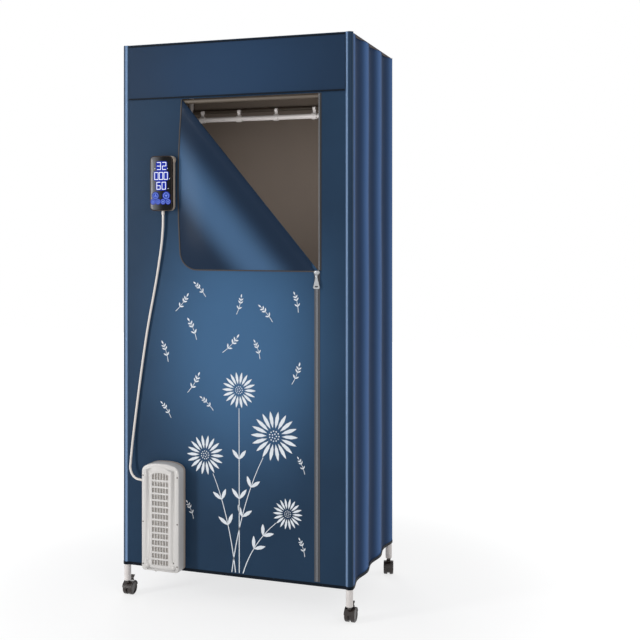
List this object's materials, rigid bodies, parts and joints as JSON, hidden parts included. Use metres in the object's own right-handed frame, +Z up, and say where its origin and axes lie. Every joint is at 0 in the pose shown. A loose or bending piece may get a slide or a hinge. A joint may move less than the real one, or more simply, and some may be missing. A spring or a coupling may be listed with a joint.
{
  "type": "portable clothes dryer",
  "caption": "Portable heated clothes dryer: a folding cloth cabinet on casters with a hanging rod, a zipped door panel, a fan heater low on its front and a wired touch controller.",
  "frame": {"origin": "centre of the footprint, on the floor that the casters stand on", "axes": "+Z up, +X to the right of somebody who faces the door, +Y from the door towards the rear cover"},
  "size_m": [0.7614, 0.5223, 1.7],
  "materials": {
    "aluminium_fins": "corrugated fins, plain",
    "beige_abs": "moulded ABS, matt",
    "black_glass": "back-printed touch glass, polished and opaque",
    "black_nylon": "glossy moulded nylon",
    "bright_metal": "plated die-cast zinc",
    "bronze_trim": "anodised dark bronze",
    "cord_pvc": "soft PVC jacket",
    "dark_tread": "smooth hard polyurethane tread",
    "grey_abs": "moulded ABS, fine matt",
    "header_cloth": "the same coated cloth, doubled, with dark piping",
    "motor_steel": "drawn can, plain",
    "navy_coated_cloth": "plain woven polyester with a satin waterproof coating",
    "off_white_nylon": "moulded nylon",
    "off_white_paint": "smooth powder coat on steel tube and strip",
    "white_abs": "moulded ABS, semi-gloss",
    "zipper_metal": "stamped teeth on dark woven tape"
  },
  "bodies": {
    "door_flap": {"door_flap": "navy_coated_cloth"},
    "falling_arms": {"falling_arm_left": "off_white_paint", "falling_arm_right": "off_white_paint"},
    "front_collars": {"front_collar_left": "off_white_nylon", "front_collar_right": "off_white_nylon"},
    "front_frame": {"bottom_cover": "navy_coated_cloth", "controller_back_shell": "beige_abs", "controller_face": "black_glass", "controller_gland": "cord_pvc", "controller_rim": "bronze_trim", "cord": "cord_pvc", "front_cover": "navy_coated_cloth", "front_leg_left": "off_white_paint", "front_leg_right": "off_white_paint", "front_rail_low": "off_white_paint", "front_rail_top": "off_white_paint", "front_rail_upper": "off_white_paint", "heater_element": "aluminium_fins", "heater_front_shell": "white_abs", "heater_gland": "cord_pvc", "heater_grille": "grey_abs", "heater_mains_inlet": "beige_abs", "heater_motor": "motor_steel", "heater_rear_shell": "white_abs", "side_cover_left": "navy_coated_cloth", "side_cover_right": "navy_coated_cloth", "top_cover": "navy_coated_cloth", "zipper_closed_run": "zipper_metal", "zipper_open_run": "zipper_metal"},
    "front_left_caster_pedal": {"front_left_caster_pedal": "black_nylon"},
    "front_left_caster_swivel": {"front_left_caster_housing": "black_nylon"},
    "front_left_caster_wheels": {"front_left_caster_wheels": "dark_tread"},
    "front_links": {"front_link_left": "off_white_paint", "front_link_right": "off_white_paint", "hanging_rod": "off_white_paint"},
    "front_right_caster_pedal": {"front_right_caster_pedal": "black_nylon"},
    "front_right_caster_swivel": {"front_right_caster_housing": "black_nylon"},
    "front_right_caster_wheels": {"front_right_caster_wheels": "dark_tread"},
    "header_flap": {"header_flap": "header_cloth"},
    "heater_fan": {"heater_fan_rotor": "grey_abs"},
    "rear_collars": {"rear_collar_left": "off_white_nylon", "rear_collar_right": "off_white_nylon"},
    "rear_frame": {"rear_cover": "navy_coated_cloth", "rear_leg_left": "off_white_paint", "rear_leg_right": "off_white_paint", "rear_rail_low": "off_white_paint", "rear_rail_top": "off_white_paint", "rear_rail_upper": "off_white_paint"},
    "rear_left_caster_pedal": {"rear_left_caster_pedal": "black_nylon"},
    "rear_left_caster_swivel": {"rear_left_caster_housing": "black_nylon"},
    "rear_left_caster_wheels": {"rear_left_caster_wheels": "dark_tread"},
    "rear_links": {"rear_link_left": "off_white_paint", "rear_link_right": "off_white_paint"},
    "rear_right_caster_pedal": {"rear_right_caster_pedal": "black_nylon"},
    "rear_right_caster_swivel": {"rear_right_caster_housing": "black_nylon"},
    "rear_right_caster_wheels": {"rear_right_caster_wheels": "dark_tread"},
    "rising_arms": {"rising_arm_left": "off_white_paint", "rising_arm_right": "off_white_paint"},
    "zipper_pull": {"zipper_pull": "bright_metal"},
    "zipper_slider": {"zipper_slider": "bright_metal"}
  },
  "joints": [
    {"name": "fold", "type": "hinge", "parent": "front_frame", "child": "front_links", "pos_m": [0, -0.19885, 1.40993], "axis": [1, 0, 0], "range_deg": [0, 59.42], "deforming": ["side_cover_left", "side_cover_right", "top_cover", "bottom_cover"]},
    {"name": "link_knee", "type": "hinge", "parent": "front_links", "child": "rear_links", "pos_m": [0, 0.02115, 1.49], "axis": [1, 0, 0], "range_deg": [-118.84, 0]},
    {"name": "rear_link_pivot", "type": "hinge", "parent": "rear_links", "child": "rear_frame", "pos_m": [0, 0.24115, 1.40993], "axis": [1, 0, 0], "range_deg": [0, 59.42]},
    {"name": "rising_arm_pivot", "type": "hinge", "parent": "front_frame", "child": "rising_arms", "pos_m": [0, -0.19885, 0.35], "axis": [1, 0, 0], "range_deg": [0, 59.42]},
    {"name": "arm_crossing", "type": "hinge", "parent": "rising_arms", "child": "falling_arms", "pos_m": [0, 0.02115, 0.43007], "axis": [1, 0, 0], "range_deg": [-118.84, 0]},
    {"name": "front_collar_pivot", "type": "hinge", "parent": "falling_arms", "child": "front_collars", "pos_m": [0, -0.19885, 0.51015], "axis": [1, 0, 0], "range_deg": [0, 59.42]},
    {"name": "rear_collar_pivot", "type": "hinge", "parent": "rising_arms", "child": "rear_collars", "pos_m": [0, 0.24115, 0.51015], "axis": [1, 0, 0], "range_deg": [-59.42, 0]},
    {"name": "front_left_caster_swivel", "type": "hinge", "parent": "front_frame", "child": "front_left_caster_swivel", "pos_m": [-0.358, -0.20685, 0], "axis": [0, 0, 1], "continuous": true},
    {"name": "front_left_caster_roll", "type": "hinge", "parent": "front_left_caster_swivel", "child": "front_left_caster_wheels", "pos_m": [-0.358, -0.19285, 0.0205], "axis": [1, 0, 0], "continuous": true},
    {"name": "front_left_caster_brake", "type": "hinge", "parent": "front_left_caster_swivel", "child": "front_left_caster_pedal", "pos_m": [-0.358, -0.18385, 0.04395], "axis": [-1, 0, 0], "range_deg": [0, 20]},
    {"name": "front_right_caster_swivel", "type": "hinge", "parent": "front_frame", "child": "front_right_caster_swivel", "pos_m": [0.358, -0.20685, 0], "axis": [0, 0, 1], "continuous": true},
    {"name": "front_right_caster_roll", "type": "hinge", "parent": "front_right_caster_swivel", "child": "front_right_caster_wheels", "pos_m": [0.358, -0.19285, 0.0205], "axis": [1, 0, 0], "continuous": true},
    {"name": "front_right_caster_brake", "type": "hinge", "parent": "front_right_caster_swivel", "child": "front_right_caster_pedal", "pos_m": [0.358, -0.18385, 0.04395], "axis": [-1, 0, 0], "range_deg": [0, 20]},
    {"name": "rear_left_caster_swivel", "type": "hinge", "parent": "rear_frame", "child": "rear_left_caster_swivel", "pos_m": [-0.358, 0.24915, 0], "axis": [0, 0, 1], "continuous": true},
    {"name": "rear_left_caster_roll", "type": "hinge", "parent": "rear_left_caster_swivel", "child": "rear_left_caster_wheels", "pos_m": [-0.36091, 0.23546, 0.0205], "axis": [-0.9781, 0.2079, 0], "continuous": true},
    {"name": "rear_left_caster_brake", "type": "hinge", "parent": "rear_left_caster_swivel", "child": "rear_left_caster_pedal", "pos_m": [-0.36278, 0.22665, 0.04395], "axis": [0.9781, -0.2079, 0], "range_deg": [0, 20]},
    {"name": "rear_right_caster_swivel", "type": "hinge", "parent": "rear_frame", "child": "rear_right_caster_swivel", "pos_m": [0.358, 0.24915, 0], "axis": [0, 0, 1], "continuous": true},
    {"name": "rear_right_caster_roll", "type": "hinge", "parent": "rear_right_caster_swivel", "child": "rear_right_caster_wheels", "pos_m": [0.36091, 0.23546, 0.0205], "axis": [-0.9781, -0.2079, 0], "continuous": true},
    {"name": "rear_right_caster_brake", "type": "hinge", "parent": "rear_right_caster_swivel", "child": "rear_right_caster_pedal", "pos_m": [0.36278, 0.22665, 0.04395], "axis": [0.9781, 0.2079, 0], "range_deg": [0, 20]},
    {"name": "door_flap_fold", "type": "hinge", "parent": "front_frame", "child": "door_flap", "pos_m": [-0.17, -0.215, 1.528], "axis": [-0.646, 0, 0.7633], "range_deg": [0, 165]},
    {"name": "header_flap_lift", "type": "hinge", "parent": "front_frame", "child": "header_flap", "pos_m": [0, -0.2162, 1.69625], "axis": [-1, 0, 0], "range_deg": [0, 170]},
    {"name": "zipper_slide", "type": "slide", "parent": "front_frame", "child": "zipper_slider", "axis": [0, 0, 1], "range_m": [-0.88, 0.49]},
    {"name": "zipper_pull_swing", "type": "hinge", "parent": "zipper_slider", "child": "zipper_pull", "pos_m": [0.263, -0.22215, 1.0012], "axis": [-1, 0, 0], "range_deg": [0, 165]},
    {"name": "heater_fan_spin", "type": "hinge", "parent": "front_frame", "child": "heater_fan", "pos_m": [-0.2195, -0.24115, 0.1047], "axis": [0, 0, 1], "continuous": true}
  ],
  "couplings": [
    {"joint": "link_knee", "follows": "fold", "ratio": -2},
    {"joint": "rear_link_pivot", "follows": "fold", "ratio": 1},
    {"joint": "rising_arm_pivot", "follows": "fold", "ratio": 1},
    {"joint": "arm_crossing", "follows": "fold", "ratio": -2},
    {"joint": "front_collar_pivot", "follows": "fold", "ratio": 1},
    {"joint": "rear_collar_pivot", "follows": "fold", "ratio": -1}
  ]
}
